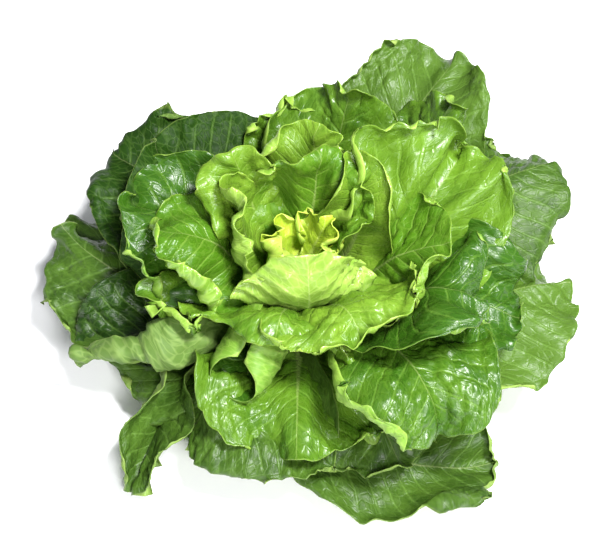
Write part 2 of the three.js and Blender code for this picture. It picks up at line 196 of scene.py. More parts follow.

# How single leaves differ in finish, tone and relief from the rest: old leaves are dull, and some are darker
# or lighter, partly in their own colour and partly as painted shade for leaves that lie in shade.
LOOKS = {
    "inner_leaf_back": dict(tone=0.2, blister=1.3, ruffle=1.4, pleat=2.2),
    "inner_leaf_right": dict(blister=0.25, ruffle=0.3, curl=0.2),
    "inner_leaf_front": dict(tone=0.6, blister=1.1, ruffle=1.6, curl=0.0, pleat=0.2),
    "inner_leaf_front_right": dict(curls=((-30, 80, 150),), curl_depth=9),
    "inner_leaf_front_left": dict(tone=0.3, curl=0.3, pleat=1.6),
    "inner_leaf_left": dict(curl=0.45, ruffle=1.3, pleat=1.8),
    "inner_leaf_far_left": dict(tone=-0.1, pleat=2.2, curls=((15, 90, 130),), curl_depth=8),
    "inner_leaf_far_right": dict(tone=0.1, curls=((-100, -10, 120),), curl_depth=9),
    "middle_leaf_front": dict(curl=0.2, pleat=2.0),
    # Its low tone is painted shade, which darkens the inside of the roll.
    "middle_leaf_front_rolled": dict(tone=-0.9, curl=0.0, ruffle=0.25, blister=0.5),
    "middle_leaf_front_right": dict(tone=0.3, pleat=1.8, curls=((-150, -85, 150), (-85, 60, 0)),
                                    curl_depth=14),
    "middle_leaf_right_back": dict(tone=0.75, pleat=3.4),
    "middle_leaf_far_right": dict(tone=-0.5, pleat=2.0),
    "middle_leaf_right": dict(tone=-0.6, pleat=2.8),
    "middle_leaf_left": dict(tone=-0.4, pleat=1.8),
    "outer_leaf_front": dict(curl=0.3),
    "outer_leaf_front_left": dict(curl=0.2, ruffle=0.5),
    "outer_leaf_left_front": dict(tone=0.0, curl=0.0, blister=1.0, pleat=1.6),
    "outer_leaf_front_right": dict(curls=((-40, 30, 140),), curl_depth=8),
    "outer_leaf_back_left": dict(tone=-0.1, dull=1.0, blister=0.6, ruffle=0.7),
    "outer_leaf_far_back_left": dict(tone=-0.1, dull=0.8, blister=0.5),
    "outer_leaf_back": dict(tone=0.8),
    "outer_leaf_right": dict(tone=1.0, pleat=2.0),
    "outer_leaf_right_back": dict(dull=0.5, blister=0.7),
}


def linear(hexcode):
    """An sRGB hex colour as linear red, green and blue."""
    parts = [int(hexcode[i:i + 2], 16) / 255 for i in (0, 2, 4)]
    return tuple(c / 12.92 if c <= 0.04045 else ((c + 0.055) / 1.055) ** 2.4 for c in parts)


def smooth(x):
    """0 below 0, 1 above 1, and an even curve between."""
    x = np.clip(x, 0, 1)
    return x * x * (3 - 2 * x)


def mix(a, b, t):
    """From a to b as t goes from 0 to 1."""
    return a + (b - a) * t


def unit(vectors):
    """The same directions at length 1."""
    return vectors / np.maximum(np.linalg.norm(vectors, axis=-1, keepdims=True), 1e-9)


def hashed(ix, iy, seed):
    """A fixed number from 0 to 1 for each whole-numbered place. The factors only scatter the bits."""
    n = (ix.astype(np.int64) * 374761393 + iy.astype(np.int64) * 668265263 + seed * 362437) & 0xFFFFFFFF
    n = ((n ^ (n >> 13)) * 1274126177) & 0xFFFFFFFF
    return ((n ^ (n >> 16)) & 0xFFFFFF) / 0xFFFFFF


def lumps(x, y, seed):
    """Smooth unevenness from -1 to 1, with one lump to each unit."""
    ix, iy = np.floor(x), np.floor(y)
    fx, fy = smooth(x - ix), smooth(y - iy)
    rows = [mix(hashed(ix, iy + k, seed), hashed(ix + 1, iy + k, seed), fx) for k in (0, 1)]
    return 2 * mix(rows[0], rows[1], fy) - 1


def puckers(x, y, seed):
    """Rounded cells of about one unit: 0 on the lines between them, up to 1 in their middles."""
    ix, iy = np.floor(x), np.floor(y)
    near = np.full(x.shape, 9.0)
    second = np.full(x.shape, 9.0)
    for dx in (-1, 0, 1):
        for dy in (-1, 0, 1):
            cx, cy = ix + dx, iy + dy
            middle_x = cx + 0.15 + 0.7 * hashed(cx, cy, seed)
            middle_y = cy + 0.15 + 0.7 * hashed(cx, cy, seed + 7)
            gap = np.hypot(middle_x - x, middle_y - y)
            second = np.minimum(second, np.maximum(near, gap))
            near = np.minimum(near, gap)
    return np.clip((second - near) / 0.7, 0, 1) ** 0.7


def toward(azimuth, pitch):
    """The direction with this azimuth about the stem and this pitch above the table."""
    a, p = np.radians(azimuth), np.radians(pitch)
    return np.stack([np.cos(p) * np.cos(a), np.cos(p) * np.sin(a), np.sin(p) + 0 * a], axis=-1)


def spine_of(leaf):
    """The midrib: places, directions along it, across it and up from it, evenly spaced from the root out."""
    start, end = leaf["azimuth"] - leaf["sweep"], leaf["azimuth"] + leaf["turn"]
    root = toward(start, 0) * leaf["root_r"] + np.array([0, 0, leaf["root_z"]])
    tip = toward(leaf["azimuth"], 0) * leaf["tip"][0] + np.array([0, 0, leaf["tip"][1]])
    chord = np.linalg.norm(tip - root)
    handles = [root, root + toward(start, leaf["pitch"][0]) * leaf["reach"][0] * chord,
               tip - toward(end, leaf["pitch"][1]) * leaf["reach"][1] * chord, tip]
    t = np.linspace(0, 1, CURVE_STEPS + 1)[:, None]
    weights = ((1 - t) ** 3, 3 * t * (1 - t) ** 2, 3 * t * t * (1 - t), t ** 3)
    curve = sum(weight * place for weight, place in zip(weights, handles))
    passed = np.concatenate([[0], np.cumsum(np.linalg.norm(np.diff(curve, axis=0), axis=1))])
    share = np.linspace(0, 1, SPINE_STEPS + 1)
    even = share * passed[-1]
    at = np.stack([np.interp(even, passed, curve[:, k]) for k in range(3)], axis=-1)
    along = unit(np.gradient(at, axis=0))
    across = toward(mix(start, end, share) + 90, 0)
    across = unit(across - along * np.sum(across * along, axis=-1, keepdims=True))
    return dict(at=at, along=along, across=across, up=np.cross(along, across), length=passed[-1])


def frame_at(spine, share, key):
    """One of the midrib's places or directions at a share of its length."""
    x = np.clip(share, 0, 1) * SPINE_STEPS
    i = np.minimum(x.astype(int), SPINE_STEPS - 1)
    f = (x - i)[..., None]
    return spine[key][i] * (1 - f) + spine[key][i + 1] * f


def outline(leaf, share):
    """A blade's half width at a share of its length, as a share of its greatest."""
    past = np.minimum((share - WIDEST_AT) / TIP_LENGTH, CORNER_SHARE)
    end = np.sqrt(np.maximum(1 - past ** 2, 0))
    side = mix(leaf["root_width"], 1, np.sin(math.pi / 2 * np.clip(share / WIDEST_AT, 0, 1) ** 1.5))
    return np.where(share > WIDEST_AT, end, side)


def wave_at(leaf, u, v):
    """Height of the waves that run round the margin and fade towards the blade's middle."""
    along = np.where(u > WIDEST_AT, (u - WIDEST_AT) / TIP_LENGTH, (u - WIDEST_AT) / WIDEST_AT)
    out = np.minimum(1, (along ** 4 + v ** 4) ** 0.25)
    angle = np.arctan2(v, along)
    height, count = leaf["wave"]
    swing = np.sin(count * angle + leaf["phase"]) + 0.45 * np.sin(2.3 * count * angle + 2 * leaf["phase"])
    return height * smooth((u - 0.12) / 0.3) * out ** 2.2 * swing


def blade_points(leaf, spine, u, v):
    """Points of a blade's plain form, u from root to tip and v from the right margin, -1, to the left, 1."""
    side, q = np.sign(v), np.abs(v)
    back = CORNER_BACK * u * (1 - np.sqrt(1 - q ** 2 / 2)) / (1 - CORNER_SHARE)
    half = leaf["width"] / 2 * outline(leaf, u * (1 - CORNER_BACK))
    turn = mix(leaf["cup"][0], leaf["cup"][1], smooth((u - 0.1) / 0.6))
    fold = np.where(v > 0, *leaf["fold"]) * smooth(u / 0.35)
    rolled = smooth((u - 0.15) / 0.35) * (1 - smooth((u - leaf["roll_end"]) / 0.12))
    roll = np.where(v > 0, *leaf["roll"]) * rolled
    sideways, upward = np.zeros_like(q), np.zeros_like(q)
    for i in range(ARC_STEPS):
        s = (i + 0.5) / ARC_STEPS * q
        past = smooth((s - leaf["roll_from"]) / (1 - leaf["roll_from"]))
        angle = np.radians(fold + turn * s + roll * past)
        sideways += np.cos(angle) * q / ARC_STEPS
        upward += np.sin(angle) * q / ARC_STEPS
    lobe = 1 + 0.03 * q ** 2 * smooth((u - 0.2) / 0.3) * np.sin(11 * u + 3 * leaf["phase"] + side)
    wave = wave_at(leaf, u, v)
    x = side * (sideways * half * lobe - np.sin(angle) * wave)
    z = upward * half * lobe + np.cos(angle) * wave
    return (frame_at(spine, u - back, "at") + frame_at(spine, u - back, "across") * x[..., None]
            + frame_at(spine, u - back, "up") * z[..., None])


def normals_of(points):
    """Directions straight out of a grid of points."""
    return unit(np.cross(np.gradient(points, axis=0), np.gradient(points, axis=1)))


def arc_lengths(points, axis):
    """Distance along each row or column of a grid of points, from its first point."""
    steps = np.linalg.norm(np.diff(points, axis=axis), axis=-1)
    start = np.zeros_like(np.take(steps, [0], axis=axis))
    return np.concatenate([start, np.cumsum(steps, axis=axis)], axis=axis)


def margin_curl(leaf, around, edge, outward, normals, amount):
    """How far the margin moves as its last few millimetres roll up, or down where the angle is negative."""
    uneven = lumps(around / CURL_LENGTH, around * 0, leaf["seed"] + 31)
    angle = CURL_UP * smooth((uneven - 0.2) / 0.5) - CURL_DOWN * smooth((-uneven - 0.3) / 0.5)
    angle *= leaf["curl"]
    for start, stop, turn in leaf["curls"]:
        inside = smooth((around - start) / CURL_EASE) * smooth((stop - around) / CURL_EASE)
        angle = mix(angle, turn, inside)
    angle = np.radians(angle) * amount
    depth = leaf["curl_depth"]
    passed = np.maximum(depth - edge, 0)
    bend = angle * passed / depth
    safe = np.where(np.abs(bend) < 1e-3, 1e-3, bend)
    inward = passed * (np.sin(safe) / safe - 1)
    upward = passed * (1 - np.cos(safe)) / safe
    return outward * inward[..., None] + normals * upward[..., None]


def side_veins(leaf, sizes, s, t):
    """The side veins' spacing, and each point's place among them, counted for the left and right halves."""
    off = np.abs(t)
    spacing = sizes.vein_spacing / MM * min(1, leaf["width"] / FULL_SPACING_WIDTH)
    slanted = s - VEIN_SLANT * off - VEIN_BEND * off ** 2
    left = slanted / spacing + VEIN_WANDER * lumps(s / 26, t / 26, leaf["seed"])
    # The veins of the two halves leave the rib in turn.
    return spacing, left, left + 0.5


def from_vein(place):
    """0 on a side vein, and 1 halfway between two."""
    return 1 - np.abs(2 * (place - np.floor(place)) - 1)


# In the functions below, each use of a leaf's seed adds a number of its own, so that no two patterns match.
def blisters(leaf, sizes, at):
    """Height of the puckers that rise between the side veins, as the tissue there outgrows the veins."""
    u, s, t, seed = at["u"], at["s"], at["t"], leaf["seed"]
    dome = 1 - (1 - from_vein(np.where(t > 0, at["left"], at["right"]))) ** 2.2
    # The right half is counted from elsewhere, so that its puckers don't mirror the left half's.
    along_vein = np.where(t > 0, at["left"], at["right"] + 40) * at["spacing"]
    wide = sizes.blister_width / MM
    pucker = puckers(along_vein / (wide * 1.2), t / wide, seed + 3)
    small = puckers(s / (wide * 0.5), t / (wide * 0.5), seed + 5)
    # They fade towards the rib, the root and the margin, and are stronger in some parts of a leaf.
    strength = leaf["blister"] * smooth(np.abs(t) / 9) * smooth((u - 0.08) / 0.25)
    strength *= mix(0.35, 1, smooth(at["edge"] / 9))
    strength *= mix(0.35, 1.25, smooth(0.5 + 0.9 * lumps(s / 38, t / 38, seed + 37)))
    return sizes.blister_height / MM * strength * (0.55 * dome + 0.8 * pucker + 0.3 * small - 0.8)


def broad_relief(leaf, at):
    """Height of the blade's swells and lumps, of its fan of pleats, and of the groove over its rib."""
    u, s, t, seed = at["u"], at["s"], at["t"], leaf["seed"]
    off = np.abs(t)
    # Swells are about 4 cm long and lumps 2 cm, and neither reaches the blade's foot.
    fullness = smooth((u - 0.1) / 0.3)
    height = SWELL_HEIGHT * leaf["ruffle"] * lumps(s / 40, t / 34, seed + 11) * fullness * smooth(off / 16)
    height += LUMP_HEIGHT * lumps(s / 19, t / 19, seed + 13) * fullness
    # The pleats spread from a point 2 cm behind the root, and are weaker at the margin.
    fan = PLEAT_PHASE * np.arctan2(off, s + 20)
    folds = np.sin(fan + 1.6 * lumps(s / 50, t / 50, seed + 41) + leaf["phase"])
    height += leaf["pleat"] * folds * smooth(s / 40) * smooth(off / 8) * mix(0.3, 1, smooth(at["edge"] / 14))
    return height - GROOVE_DEPTH * leaf["rib"] * np.exp(-(t / GROOVE_HALF_WIDTH) ** 2) * (1 - u)


def ruffles(leaf, sizes, at):
    """Height of the small waves along the margin, about 27 mm long with others of 12 mm on them."""
    around, seed = at["around"], leaf["seed"]
    swing = np.sin(2 * math.pi * (around / 27 + 0.9 * lumps(around / 43, around * 0, seed + 17)))
    swing += 0.4 * np.sin(2 * math.pi * (around / 12 + 0.8 * lumps(around / 21, around * 0, seed + 19)))
    near_margin = np.exp(-at["edge"] / RUFFLE_REACH) * at["past_stalk"]
    return sizes.ruffle_height / MM * leaf["ruffle"] * near_margin * swing


def teeth(leaf, at):
    """How far the margin's teeth and notches stand out in the blade's own plane."""
    around, seed = at["around"], leaf["seed"]
    small = SMALL_TOOTH * lumps(around / 3.4, around * 0, seed + 23)
    big = BIG_TOOTH * lumps(around / 13, around * 0, seed + 29)
    return (small + big) * np.exp(-(at["edge"] / 2.5) ** 2) * at["past_stalk"]


def leaf_layout(leaf, sizes):
    """The grid of a blade with its relief, and what its finish needs: veins, distances to rib and margin."""
    cell = sizes.cell / MM
    spine = spine_of(leaf)
    rows = max(FEWEST_ROWS, round(spine["length"] / cell))
    columns = 2 * max(FEWEST_COLUMNS, round(leaf["width"] / cell / 2))
    u, v = np.meshgrid(np.linspace(0, 1, rows + 1), np.linspace(-1, 1, columns + 1), indexing="ij")
    points = blade_points(leaf, spine, u, v)
    # Distances on the blade: s from the root, t from the rib, positive on the left, and edge from the margin.
    across = arc_lengths(points, 1)
    middle = columns // 2
    t = across - across[:, middle:middle + 1]
    s = u * spine["length"]
    to_side = np.minimum(across, across[:, -1:] - across)
    to_end = spine["length"] - s
    side_weight, end_weight = np.exp(-to_side / MARGIN_ROUNDING), np.exp(-to_end / MARGIN_ROUNDING)
    edge = np.maximum(-MARGIN_ROUNDING * np.log(side_weight + end_weight + 1e-12), 0)
    # The distance round the margin from the tip, positive on the left.
    around = np.where(t > 0, 1, -1) * (np.abs(t) + to_end)
    sideways = unit(np.gradient(points, axis=1)) * np.where(v > 0, 1, -1)[..., None]
    onward = unit(np.gradient(points, axis=0))
    outward = unit(sideways * side_weight[..., None] + onward * end_weight[..., None])
    points = points + margin_curl(leaf, around, edge, outward, normals_of(points), smooth((u - 0.2) / 0.2))
    spacing, left, right = side_veins(leaf, sizes, s, t)
    at = dict(u=u, s=s, t=t, edge=edge, around=around, spacing=spacing, left=left, right=right,
              past_stalk=smooth((u - 0.15) / 0.25))
    height = blisters(leaf, sizes, at) + broad_relief(leaf, at) + ruffles(leaf, sizes, at)
    points = points + normals_of(points) * height[..., None]
    points = points + outward * teeth(leaf, at)[..., None]
    points[..., 2] = np.maximum(points[..., 2], LOWEST)
    return dict(points=points, u=u, t=t, edge=edge, left=left, right=right)


def blade_thickness(leaf, layout):
    """The blade's thickness, with the rib that swells beneath it towards the root."""
    half = RIB_HALF_WIDTH * leaf["rib"] * mix(0.8, 0.12, layout["u"])
    rib = RIB_THICKNESS * leaf["rib"] * (1 - layout["u"]) ** 1.4 * np.exp(-(layout["t"] / half) ** 2)
    return BLADE_THICKNESS + BLADE_THICKENING * smooth(layout["edge"] / 4) + rib


def quads(a, b, c, d):
    """Four-sided faces from four equal blocks of vertex numbers."""
    return np.stack([a.ravel(), b.ravel(), c.ravel(), d.ravel()], axis=-1)


def closed_faces(index):
    """Faces of a closed blade over a grid of vertex numbers, and which of them are its underside."""
    below = index + index.size
    top = quads(index[:-1, :-1], index[1:, :-1], index[1:, 1:], index[:-1, 1:])
    bottom = quads(below[:-1, :-1], below[:-1, 1:], below[1:, 1:], below[1:, :-1])
    rim = np.concatenate([
        quads(index[0, :-1], index[0, 1:], below[0, 1:], below[0, :-1]),
        quads(index[-1, 1:], index[-1, :-1], below[-1, :-1], below[-1, 1:]),
        quads(index[1:, 0], index[:-1, 0], below[:-1, 0], below[1:, 0]),
        quads(index[:-1, -1], index[1:, -1], below[1:, -1], below[:-1, -1]),
    ])
    is_under = np.repeat([0, 1, 0], [len(top), len(bottom), len(rim)]).astype(np.int32)
    return np.concatenate([top, bottom, rim]), is_under


def blade_arrays(leaf, sizes):
    """A closed blade: vertices, faces, which faces are the underside, and each vertex's coordinates on it."""
    layout = leaf_layout(leaf, sizes)
    points = layout.pop("points")
    under = points - normals_of(points) * blade_thickness(leaf, layout)[..., None]
    under[..., 2] = np.maximum(under[..., 2], LOWEST_UNDER)
    vertices = np.concatenate([points.reshape(-1, 3), under.reshape(-1, 3)])
    faces, is_under = closed_faces(np.arange(layout["u"].size).reshape(layout["u"].shape))
    fields = {key: np.tile(value.ravel(), 2) for key, value in layout.items()}
    return vertices, faces, is_under, fields


def mesh_from(name, parts, materials, leaves):
    """One object from closed blades, with its vein and margin coordinates in two UV maps."""
    vertices, faces, under, veins, edges = [], [], [], [], []
    # Each leaf's tone, partly its own colour and partly painted shade, and its dullness are kept on its
    # vertices.
    finish = {"tone": [], "dull": []}
    count = 0
    for (points, corners, is_under, fields), leaf in zip(parts, leaves):
        vertices.append(points * MM)
        faces.append(corners + count)
        under.append(is_under)
        # A face takes its vein count from the half that its middle lies in, so no face spans both counts.
        middle = fields["t"][corners].mean(axis=1)
        w = np.where(middle[:, None] > 0, fields["left"][corners], fields["right"][corners])
        veins.append(np.stack([w, fields["t"][corners]], axis=-1).reshape(-1, 2))
        edges.append(np.stack([fields["edge"][corners], fields["u"][corners]], axis=-1).reshape(-1, 2))
        for key, values in finish.items():
            values.append(np.full(len(points), leaf[key], dtype=np.float32))
        count += len(points)
    vertices, faces = np.concatenate(vertices), np.concatenate(faces)
    mesh = bpy.data.meshes.new(name)
    mesh.vertices.add(len(vertices))
    mesh.vertices.foreach_set("co", vertices.astype(np.float32).ravel())
    mesh.loops.add(faces.size)
    mesh.loops.foreach_set("vertex_index", faces.astype(np.int32).ravel())
    mesh.polygons.add(len(faces))
    mesh.polygons.foreach_set("loop_start", np.arange(0, faces.size, 4, dtype=np.int32))
    mesh.polygons.foreach_set("material_index", np.concatenate(under))
    for uv_name, values in (("veins", veins), ("edge", edges)):
        layer = mesh.uv_layers.new(name=uv_name)
        layer.data.foreach_set("uv", np.concatenate(values).astype(np.float32).ravel())
    for key, values in finish.items():
        mesh.attributes.new(key, "FLOAT", "POINT").data.foreach_set("value", np.concatenate(values))
    mesh.update(calc_edges=True)
    mesh.validate()
    mesh.shade_smooth()
    for material in materials:
        mesh.materials.append(material)
    piece = bpy.data.objects.new(name, mesh)
    bpy.context.scene.collection.objects.link(piece)
    return piece


def add(tree, kind, inputs=None, **settings):
    """Adds a node with its settings. An input is a number, a colour or another node's output."""
    node = tree.nodes.new(kind)
    for key, value in settings.items():
        setattr(node, key, value)
    for key, value in (inputs or {}).items():
        if isinstance(value, bpy.types.NodeSocket):
            tree.links.new(value, node.inputs[key])
        else:
            node.inputs[key].default_value = value
    return node


def rgba(colour):
    """A colour with full opacity."""
    return (*colour, 1.0)


def leaf_material(name, colours, spacing, under, gloss):
    """Living lettuce leaf. Above, a waxy cuticle over green flesh gives wet-looking highlights that break on
    the veins; beneath, the loose cells are paler and greyer, and the veins stand out."""
    material = bpy.data.materials.new(name)
    material.use_nodes = True
    tree = material.node_tree
    tree.nodes.clear()
    colours = {key: rgba(colour) for key, colour in colours.items()}

    def calc(operation, a, b=0.0):
        return add(tree, "ShaderNodeMath", {0: a, 1: b}, operation=operation).outputs[0]

    def ramp(value, low, high, at_low, at_high):
        """Runs smoothly from one value to another as the input goes from low to high."""
        limits = {"Value": value, "From Min": low, "From Max": high, "To Min": at_low, "To Max": at_high}
        return add(tree, "ShaderNodeMapRange", limits, interpolation_type="SMOOTHSTEP").outputs["Result"]

    def blend(factor, a, b):
        return add(tree, "ShaderNodeMix", {0: factor, 6: a, 7: b}, data_type="RGBA").outputs[2]

    def coordinates(uv_map):
        layer = add(tree, "ShaderNodeUVMap", uv_map=uv_map).outputs[0]
        return add(tree, "ShaderNodeSeparateXYZ", {0: layer}).outputs[:2]

    def noise(scale, detail):
        """Cloudy unevenness over the blade, with this many clouds to a millimetre."""
        inputs = {"Vector": place, "Scale": scale, "Detail": detail}
        return add(tree, "ShaderNodeTexNoise", inputs).outputs["Fac"]

    def attribute(key):
        return add(tree, "ShaderNodeAttribute", attribute_name=key).outputs["Fac"]

    # Places on the blade, in millimetres but for the vein count w and the share of the length.
    w, t = coordinates("veins")
    edge, share = coordinates("edge")
    off = calc("ABSOLUTE", t)
    place = add(tree, "ShaderNodeCombineXYZ", {0: calc("MULTIPLY", w, spacing), 1: t}).outputs[0]

    # Side veins are about 1.5 mm wide and fade out towards the margin and the root.
    from_middle = calc("ABSOLUTE", calc("SUBTRACT", calc("FRACT", w), 0.5))
    to_vein = calc("MULTIPLY", calc("SUBTRACT", 0.5, from_middle), spacing)
    vein_fade = calc("MULTIPLY", ramp(edge, 2, 18, 0, 1), ramp(share, 0.05, 0.3, 0, 1))
    vein = calc("MULTIPLY", ramp(to_vein, 0.25, 1.3, 1, 0), vein_fade)
    # Cells of the net between the side veins are 4 to 6 mm across.
    net = add(tree, "ShaderNodeTexVoronoi", {"Vector": place, "Scale": 0.2}, feature="DISTANCE_TO_EDGE")
    net_line = ramp(net.outputs["Distance"], 0.02, 0.12, 1, 0)
    # The rib is 10 mm wide at the root and thins to half a millimetre at the tip.
    rib_half = calc("ADD", calc("MULTIPLY", calc("POWER", calc("SUBTRACT", 1.0, share), 2.0), 5.0), 0.25)
    rib = ramp(calc("DIVIDE", off, rib_half), 0.35, 1.1, 1, 0)
    # Little light reaches the blade's foot, so it stays pale, most of all beside the rib.
    base = ramp(share, 0.02, 0.42, 1, 0)
    base_near_rib = calc("MULTIPLY", base, ramp(off, 4, 26, 1, 0.25))
    margin = ramp(edge, 0.1, 0.7, 1, 0)

    # The green varies in patches of about 2 cm and in flecks of about 2 mm.
    patches = noise(0.045, 3.0)
    flecks = noise(0.5, 4.0)
    # The leaf's tone, partly its own colour and partly painted shade, sets how far its green goes from dark
    # to light.
    light = calc("ADD", attribute("tone"), calc("MULTIPLY", calc("SUBTRACT", patches, 0.5), 1.1))
    light = calc("ADD", light, calc("MULTIPLY", calc("SUBTRACT", flecks, 0.5), 0.5))
    blade = blend(ramp(light, 0, 1, 0, 1), colours["dark"], colours["light"])
    blade = blend(calc("MULTIPLY", net_line, 0.2 if under else 0.09), blade, colours["vein"])
    blade = blend(calc("MULTIPLY", base_near_rib, 0.8), blade, colours["base"])
    blade = blend(calc("MULTIPLY", vein, 0.22), blade, colours["vein"])
    blade = blend(calc("MULTIPLY", margin, 0.3), blade, colours["margin"])
    whitened = calc("ADD", calc("MULTIPLY", base, 0.65), 0.2)
    blade = blend(calc("MULTIPLY", rib, whitened), blade, colours["rib"])

    # Veins are sunk above and raised beneath, by a few tenths of a millimetre, over a grain of about 1 mm.
    sign = 1 if under else -1
    lines = calc("ADD", calc("MULTIPLY", vein, 1.0 * sign), calc("MULTIPLY", net_line, 0.45 * sign))
    lines = calc("ADD", lines, calc("MULTIPLY", noise(0.9, 3.0), 0.3))
    relief = {"Height": lines, "Strength": 0.25 if under else 0.45, "Distance": 0.0007}
    bump = add(tree, "ShaderNodeBump", relief).outputs[0]

    # The wax of an old leaf has worn off, so it is rougher and reflects less.
    dull = attribute("dull")
    rough = calc("ADD", ramp(flecks, 0.3, 0.7, *gloss), calc("MULTIPLY", dull, 0.2))
    shine = ramp(dull, 0, 1, 0.36, 0.1)
    shader = add(tree, "ShaderNodeBsdfPrincipled", {
        "Base Color": blade, "Roughness": rough, "Normal": bump, "IOR": 1.45, "Specular IOR Level": shine,
        "Subsurface Weight": 0.12, "Subsurface Radius": (0.7, 1.0, 0.3), "Subsurface Scale": 0.0015,
    })
    add(tree, "ShaderNodeOutputMaterial", {"Surface": shader.outputs[0]})
    return material


# Greens of the blade from dark to light, and of its pale foot, veins, margin and rib, as sRGB.
COLOURS = {
    "outer": dict(dark="1b3509", light="46631f", base="7f9a55",
                  vein="6b8d40", margin="7f9648", rib="a3ac78"),
    "middle": dict(dark="2b4f0e", light="56781d", base="88a450",
                   vein="759a3c", margin="869f44", rib="a8b472"),
    "inner": dict(dark="406712", light="71912b", base="a2b860",
                  vein="8cab4a", margin="99b24a", rib="b4c07c"),
    "heart": dict(dark="769a20", light="aac036", base="cfd878",
                  vein="c0ca60", margin="d2da60", rib="d6dc98"),
}
# The same beneath, where the leaf is paler.
UNDER = {
    "outer": dict(dark="4f6a2c", light="76903f", base="94a868",
                  vein="8da35e", margin="93a658", rib="a9b484"),
    "middle": dict(dark="5f8428", light="85a63c", base="a2b868",
                   vein="98b058", margin="9cb254", rib="b0ba84"),
    "inner": dict(dark="668a2c", light="86a443", base="b4c878",
                  vein="b0c66c", margin="aec258", rib="c4ce90"),
    "heart": dict(dark="8cb03a", light="b4cc54", base="d2da88",
                  vein="ccd678", margin="d6de6c", rib="dce0a4"),
}

# Roughness of the two faces, from their glossiest flecks to their dullest.
UPPER_GLOSS = (0.25, 0.36)
UNDER_GLOSS = {"outer": (0.48, 0.6), "middle": (0.42, 0.55), "inner": (0.15, 0.25), "heart": (0.3, 0.4)}


def finishes(ring, spacing):
    """The two finishes of a ring's leaves: upper side and underside."""
    made = []
    for label, table in (("upper", COLOURS), ("underside", UNDER)):
        colours = {key: linear(value) for key, value in table[ring].items()}
        under = label == "underside"
        gloss = UNDER_GLOSS[ring] if under else UPPER_GLOSS
        made.append(leaf_material(f"lettuce leaf, {ring}, {label}", colours, spacing, under, gloss))
    return made


def ring_leaves(ring):
    """The leaves of a ring with all their values, in the order in which they are counted from the middle."""
    leaves, count = [], 0
    for name, rows in LEAVES.items():
        for row in rows:
            if name == ring:
                own = {"phase": count * PHASE_STEP, "seed": FIRST_SEED + SEED_STEP * count}
                looks = LOOKS.get(f"{ring}_leaf_{row['name']}", {})
                leaves.append({**PLAIN, **RINGS[ring], **own, **row, **looks})
            count += "phase" not in row
    return leaves


def make_ring(ring, sizes):
    """Every leaf of a ring, each in its own solid's place."""
    spacing = sizes.vein_spacing / MM
    materials = finishes(ring, spacing)
    for leaf in ring_leaves(ring):
        node = f"{ring}_leaf_{leaf['name']}"
        piece = mesh_from(f"{node}_blade", [blade_arrays(leaf, sizes)], materials, [leaf])
        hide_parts(node)
        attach(piece, "root")


class LettuceSizes(bpy.types.PropertyGroup):
    """Sizes of the leaves' relief."""

    cell: bpy.props.FloatProperty(
        name="Mesh cell", description="Side of a leaf's mesh cells", default=1.5 * MM,
        subtype="DISTANCE", precision=4)
    vein_spacing: bpy.props.FloatProperty(
        name="Vein spacing", description="Distance between side veins at the rib", default=12 * MM,
        subtype="DISTANCE", precision=4)
    blister_width: bpy.props.FloatProperty(
        name="Blister width", description="Width of the puckers between veins", default=9.5 * MM,
        subtype="DISTANCE", precision=4)
    blister_height: bpy.props.FloatProperty(
        name="Blister height", description="Height of the puckers", default=2.5 * MM, subtype="DISTANCE",
        precision=4)
    ruffle_height: bpy.props.FloatProperty(
        name="Ruffle height", description="Height of the margin's small waves", default=2.0 * MM,
        subtype="DISTANCE", precision=4)


class LettuceStage(bpy.types.PropertyGroup):
    """Camera and light."""

    elevation: bpy.props.FloatProperty(
        name="Camera elevation", description="The camera's angle above the table", default=math.radians(60),
        subtype="ANGLE")
    distance: bpy.props.FloatProperty(
        name="Camera distance", description="From the middle of the head", default=0.9, subtype="DISTANCE")
    lens: bpy.props.FloatProperty(
        name="Lens", description="Focal length on a 36 mm wide sensor", default=95,
        subtype="DISTANCE_CAMERA")
    key_power: bpy.props.FloatProperty(
        name="Key light", description="Power of the lamp at the upper right", default=43, subtype="POWER")
    front_power: bpy.props.FloatProperty(
        name="Front light", description="Power of the lamp beside the camera", default=15, subtype="POWER")
    low_power: bpy.props.FloatProperty(
        name="Low light", description="Power of the lamp low in front, for the leaves that face forward",
        default=5, subtype="POWER")
    fill: bpy.props.FloatProperty(
        name="Fill", description="Brightness of the white surroundings", default=0.31, subtype="FACTOR")


class LETTUCE_OT_stem(bpy.types.Operator):
    """Make the stem"""

    bl_idname = "lettuce.stem"
    bl_label = "Stem"

    def execute(self, context):
        material = stem_material()
        stem = stem_piece(material)
        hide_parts("stem")
        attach(stem, "root")
        return {"FINISHED"}


class LETTUCE_OT_heart(bpy.types.Operator):
    """Make the small leaves that have grown together in the middle"""

    bl_idname = "lettuce.heart"
    bl_label = "Heart"

    def execute(self, context):
        sizes = context.scene.lettuce_sizes
        leaves = []
        for i, row in enumerate(HEART_LEAVES):
            own = {"phase": i * PHASE_STEP, "seed": HEART_SEED + SEED_STEP * i, "blister": 0.6}
            leaves.append({**PLAIN, **RINGS["heart"], **own, **row})
        parts = [blade_arrays(leaf, sizes) for leaf in leaves]
        heart = mesh_from("heart_leaves", parts, finishes("heart", sizes.vein_spacing / MM), leaves)
        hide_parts("heart")
        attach(heart, "root")
        return {"FINISHED"}


class LETTUCE_OT_inner_leaves(bpy.types.Operator):
    """Make the inner ring of leaves"""

    bl_idname = "lettuce.inner_leaves"
    bl_label = "Inner leaves"

    def execute(self, context):
        make_ring("inner", context.scene.lettuce_sizes)
        return {"FINISHED"}


class LETTUCE_OT_middle_leaves(bpy.types.Operator):
    """Make the middle ring of leaves"""

    bl_idname = "lettuce.middle_leaves"
    bl_label = "Middle leaves"

    def execute(self, context):
        make_ring("middle", context.scene.lettuce_sizes)
        return {"FINISHED"}


class LETTUCE_OT_outer_leaves(bpy.types.Operator):
    """Make the outer ring of leaves"""

    bl_idname = "lettuce.outer_leaves"
    bl_label = "Outer leaves"

    def execute(self, context):
        make_ring("outer", context.scene.lettuce_sizes)
        return {"FINISHED"}


